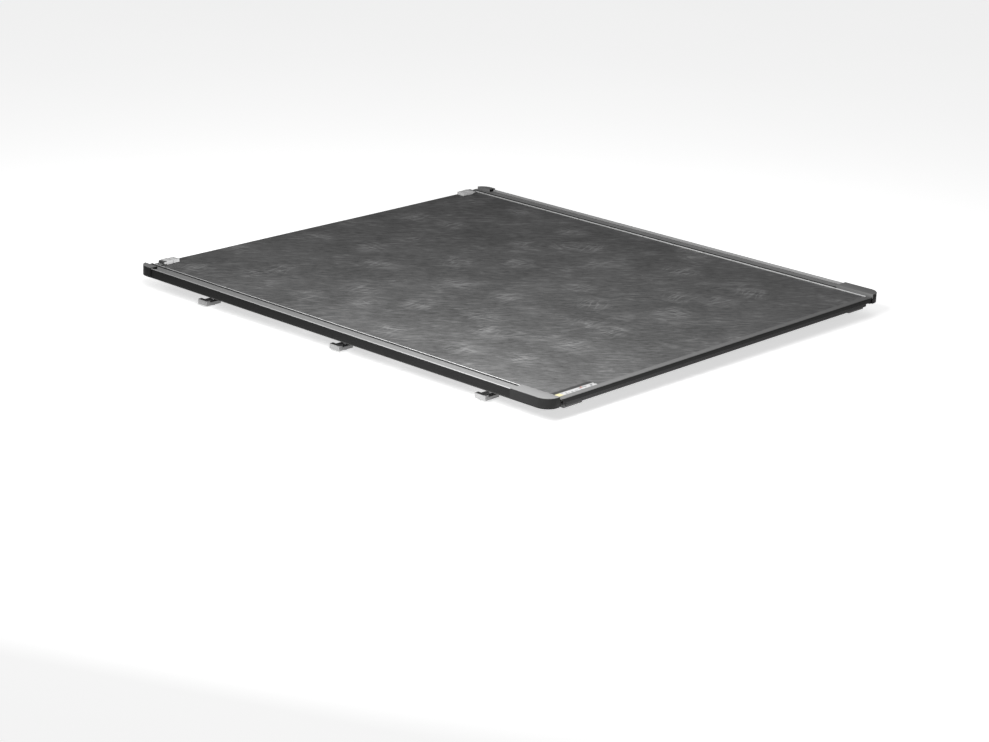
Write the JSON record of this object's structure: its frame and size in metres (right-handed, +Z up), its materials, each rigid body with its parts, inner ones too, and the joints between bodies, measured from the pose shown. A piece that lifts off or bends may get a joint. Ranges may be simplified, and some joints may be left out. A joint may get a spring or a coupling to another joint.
{
  "type": "roll-up tonneau cover",
  "caption": "Soft vinyl sheet on side rails that covers a pickup bed, held by tail latches and bed clamps, and rolls up to the cab.",
  "frame": {"origin": "centre of the bed opening, level with the tops of the bed's side rails", "axes": "+X to the truck's right, +Y towards the cab, +Z up"},
  "size_m": [1.6, 1.7198, 0.0843],
  "materials": {
    "vinyl": "matt grained vinyl on a knitted backing",
    "rail_black": "black powder coat on aluminium",
    "tail_black": "black powder coat on aluminium",
    "bar_aluminium": "mill finish",
    "bracket_aluminium": "cast, satin",
    "steel": "zinc plated",
    "seal_rubber": "matt",
    "hook_tape": "woven hook tape",
    "cap_plastic": "fine moulded texture",
    "latch_plastic": "moulded",
    "buckle": "pale grey moulded",
    "webbing": "woven",
    "label": "printed film, plain"
  },
  "bodies": {
    "frame": {"left_side_rail": "rail_black", "right_side_rail": "rail_black", "left_rail_seal": "seal_rubber", "right_rail_seal": "seal_rubber", "left_hook_tape": "hook_tape", "right_hook_tape": "hook_tape", "left_rear_corner_cap": "cap_plastic", "right_rear_corner_cap": "cap_plastic", "left_front_corner_cap": "cap_plastic", "right_front_corner_cap": "cap_plastic", "header_bar": "bar_aluminium", "header_screws": "steel", "header_seal": "seal_rubber", "front_panel": "vinyl", "clamp_brackets": "bracket_aluminium"},
    "tail": {"cover_strip_01": "vinyl", "tail_bar": "tail_black", "tail_bar_plugs": "cap_plastic", "tail_seal": "seal_rubber", "left_latch_housing": "latch_plastic", "right_latch_housing": "latch_plastic", "corner_label": "label"},
    "strip_02": {"cover_strip_02": "vinyl"},
    "strip_03": {"cover_strip_03": "vinyl"},
    "strip_04": {"cover_strip_04": "vinyl", "rear_crossbow": "bar_aluminium"},
    "strip_05": {"cover_strip_05": "vinyl"},
    "strip_06": {"cover_strip_06": "vinyl"},
    "strip_07": {"cover_strip_07": "vinyl", "middle_crossbow": "bar_aluminium"},
    "strip_08": {"cover_strip_08": "vinyl"},
    "strip_09": {"cover_strip_09": "vinyl"},
    "strip_10": {"cover_strip_10": "vinyl", "front_crossbow": "bar_aluminium"},
    "strip_11": {"cover_strip_11": "vinyl"},
    "strip_12": {"cover_strip_12": "vinyl"},
    "left_latch": {"left_latch_bolt": "steel", "left_release_pull": "latch_plastic", "left_latch_spring": "steel"},
    "left_buckle": {"left_buckle_socket": "buckle", "left_storage_strap": "webbing"},
    "left_tongue": {"left_buckle_tongue": "buckle"},
    "left_rear_clamp_jaw": {"left_rear_clamp_jaw": "bracket_aluminium"},
    "left_rear_clamp_bolt": {"left_rear_clamp_bolt": "steel"},
    "left_middle_clamp_jaw": {"left_middle_clamp_jaw": "bracket_aluminium"},
    "left_middle_clamp_bolt": {"left_middle_clamp_bolt": "steel"},
    "left_front_clamp_jaw": {"left_front_clamp_jaw": "bracket_aluminium"},
    "left_front_clamp_bolt": {"left_front_clamp_bolt": "steel"},
    "right_latch": {"right_latch_bolt": "steel", "right_release_pull": "latch_plastic", "right_latch_spring": "steel"},
    "right_buckle": {"right_buckle_socket": "buckle", "right_storage_strap": "webbing"},
    "right_tongue": {"right_buckle_tongue": "buckle"},
    "right_rear_clamp_jaw": {"right_rear_clamp_jaw": "bracket_aluminium"},
    "right_rear_clamp_bolt": {"right_rear_clamp_bolt": "steel"},
    "right_middle_clamp_jaw": {"right_middle_clamp_jaw": "bracket_aluminium"},
    "right_middle_clamp_bolt": {"right_middle_clamp_bolt": "steel"},
    "right_front_clamp_jaw": {"right_front_clamp_jaw": "bracket_aluminium"},
    "right_front_clamp_bolt": {"right_front_clamp_bolt": "steel"}
  },
  "joints": [
    {"name": "roll_12", "type": "hinge", "parent": "frame", "child": "strip_12", "pos_m": [0, 0.59, 0.0205], "axis": [-1, 0, 0], "range_deg": [0, 60]},
    {"name": "roll_11", "type": "hinge", "parent": "strip_12", "child": "strip_11", "pos_m": [0, 0.43233, 0.0205], "axis": [-1, 0, 0], "range_deg": [0, 60]},
    {"name": "roll_10", "type": "hinge", "parent": "strip_11", "child": "strip_10", "pos_m": [0, 0.28167, 0.0205], "axis": [-1, 0, 0], "range_deg": [0, 60]},
    {"name": "roll_09", "type": "hinge", "parent": "strip_10", "child": "strip_09", "pos_m": [0, 0.138, 0.0205], "axis": [-1, 0, 0], "range_deg": [0, 60]},
    {"name": "roll_08", "type": "hinge", "parent": "strip_09", "child": "strip_08", "pos_m": [0, 0.00133, 0.0205], "axis": [-1, 0, 0], "range_deg": [0, 60]},
    {"name": "roll_07", "type": "hinge", "parent": "strip_08", "child": "strip_07", "pos_m": [0, -0.12833, 0.0205], "axis": [-1, 0, 0], "range_deg": [0, 60]},
    {"name": "roll_06", "type": "hinge", "parent": "strip_07", "child": "strip_06", "pos_m": [0, -0.251, 0.0205], "axis": [-1, 0, 0], "range_deg": [0, 60]},
    {"name": "roll_05", "type": "hinge", "parent": "strip_06", "child": "strip_05", "pos_m": [0, -0.36667, 0.0205], "axis": [-1, 0, 0], "range_deg": [0, 60]},
    {"name": "roll_04", "type": "hinge", "parent": "strip_05", "child": "strip_04", "pos_m": [0, -0.47533, 0.0205], "axis": [-1, 0, 0], "range_deg": [0, 60]},
    {"name": "roll_03", "type": "hinge", "parent": "strip_04", "child": "strip_03", "pos_m": [0, -0.577, 0.0205], "axis": [-1, 0, 0], "range_deg": [0, 60]},
    {"name": "roll_02", "type": "hinge", "parent": "strip_03", "child": "strip_02", "pos_m": [0, -0.67167, 0.0205], "axis": [-1, 0, 0], "range_deg": [0, 60]},
    {"name": "roll_01", "type": "hinge", "parent": "strip_02", "child": "tail", "pos_m": [0, -0.75933, 0.0205], "axis": [-1, 0, 0], "range_deg": [0, 60]},
    {"name": "left_latch_pull", "type": "slide", "parent": "tail", "child": "left_latch", "axis": [1, 0, 0], "range_m": [0, 0.012], "stiffness_N_per_m": 350, "springref_m": -0.008, "deforming": ["left_latch_spring"]},
    {"name": "left_strap_swing", "type": "hinge", "parent": "frame", "child": "left_buckle", "pos_m": [-0.7354, 0.839, 0.0186], "axis": [0, -1, 0], "range_deg": [0, 90]},
    {"name": "left_buckle_release", "type": "slide", "parent": "left_buckle", "child": "left_tongue", "axis": [1, 0, 0], "range_m": [0, 0.03]},
    {"name": "left_rear_clamp_close", "type": "slide", "parent": "frame", "child": "left_rear_clamp_jaw", "axis": [0, 0, -1], "range_m": [0, 0.006]},
    {"name": "left_rear_clamp_turn", "type": "hinge", "parent": "left_rear_clamp_jaw", "child": "left_rear_clamp_bolt", "pos_m": [-0.728, -0.58517, -0.05], "axis": [0, 0, 1], "range_deg": [0, 1728]},
    {"name": "left_middle_clamp_close", "type": "slide", "parent": "frame", "child": "left_middle_clamp_jaw", "axis": [0, 0, -1], "range_m": [0, 0.006]},
    {"name": "left_middle_clamp_turn", "type": "hinge", "parent": "left_middle_clamp_jaw", "child": "left_middle_clamp_bolt", "pos_m": [-0.728, 0, -0.05], "axis": [0, 0, 1], "range_deg": [0, 1728]},
    {"name": "left_front_clamp_close", "type": "slide", "parent": "frame", "child": "left_front_clamp_jaw", "axis": [0, 0, -1], "range_m": [0, 0.006]},
    {"name": "left_front_clamp_turn", "type": "hinge", "parent": "left_front_clamp_jaw", "child": "left_front_clamp_bolt", "pos_m": [-0.728, 0.5848, -0.05], "axis": [0, 0, 1], "range_deg": [0, 1728]},
    {"name": "right_latch_pull", "type": "slide", "parent": "tail", "child": "right_latch", "axis": [-1, 0, 0], "range_m": [0, 0.012], "stiffness_N_per_m": 350, "springref_m": -0.008, "deforming": ["right_latch_spring"]},
    {"name": "right_strap_swing", "type": "hinge", "parent": "frame", "child": "right_buckle", "pos_m": [0.7354, 0.839, 0.0186], "axis": [0, 1, 0], "range_deg": [0, 90]},
    {"name": "right_buckle_release", "type": "slide", "parent": "right_buckle", "child": "right_tongue", "axis": [-1, 0, 0], "range_m": [0, 0.03]},
    {"name": "right_rear_clamp_close", "type": "slide", "parent": "frame", "child": "right_rear_clamp_jaw", "axis": [0, 0, -1], "range_m": [0, 0.006]},
    {"name": "right_rear_clamp_turn", "type": "hinge", "parent": "right_rear_clamp_jaw", "child": "right_rear_clamp_bolt", "pos_m": [0.728, -0.58517, -0.05], "axis": [0, 0, 1], "range_deg": [0, 1728]},
    {"name": "right_middle_clamp_close", "type": "slide", "parent": "frame", "child": "right_middle_clamp_jaw", "axis": [0, 0, -1], "range_m": [0, 0.006]},
    {"name": "right_middle_clamp_turn", "type": "hinge", "parent": "right_middle_clamp_jaw", "child": "right_middle_clamp_bolt", "pos_m": [0.728, 0, -0.05], "axis": [0, 0, 1], "range_deg": [0, 1728]},
    {"name": "right_front_clamp_close", "type": "slide", "parent": "frame", "child": "right_front_clamp_jaw", "axis": [0, 0, -1], "range_m": [0, 0.006]},
    {"name": "right_front_clamp_turn", "type": "hinge", "parent": "right_front_clamp_jaw", "child": "right_front_clamp_bolt", "pos_m": [0.728, 0.5848, -0.05], "axis": [0, 0, 1], "range_deg": [0, 1728]}
  ],
  "couplings": [
    {"joint": "left_rear_clamp_turn", "follows": "left_rear_clamp_close", "rad_per_m": 5026.5},
    {"joint": "left_middle_clamp_turn", "follows": "left_middle_clamp_close", "rad_per_m": 5026.5},
    {"joint": "left_front_clamp_turn", "follows": "left_front_clamp_close", "rad_per_m": 5026.5},
    {"joint": "right_rear_clamp_turn", "follows": "right_rear_clamp_close", "rad_per_m": 5026.5},
    {"joint": "right_middle_clamp_turn", "follows": "right_middle_clamp_close", "rad_per_m": 5026.5},
    {"joint": "right_front_clamp_turn", "follows": "right_front_clamp_close", "rad_per_m": 5026.5}
  ]
}
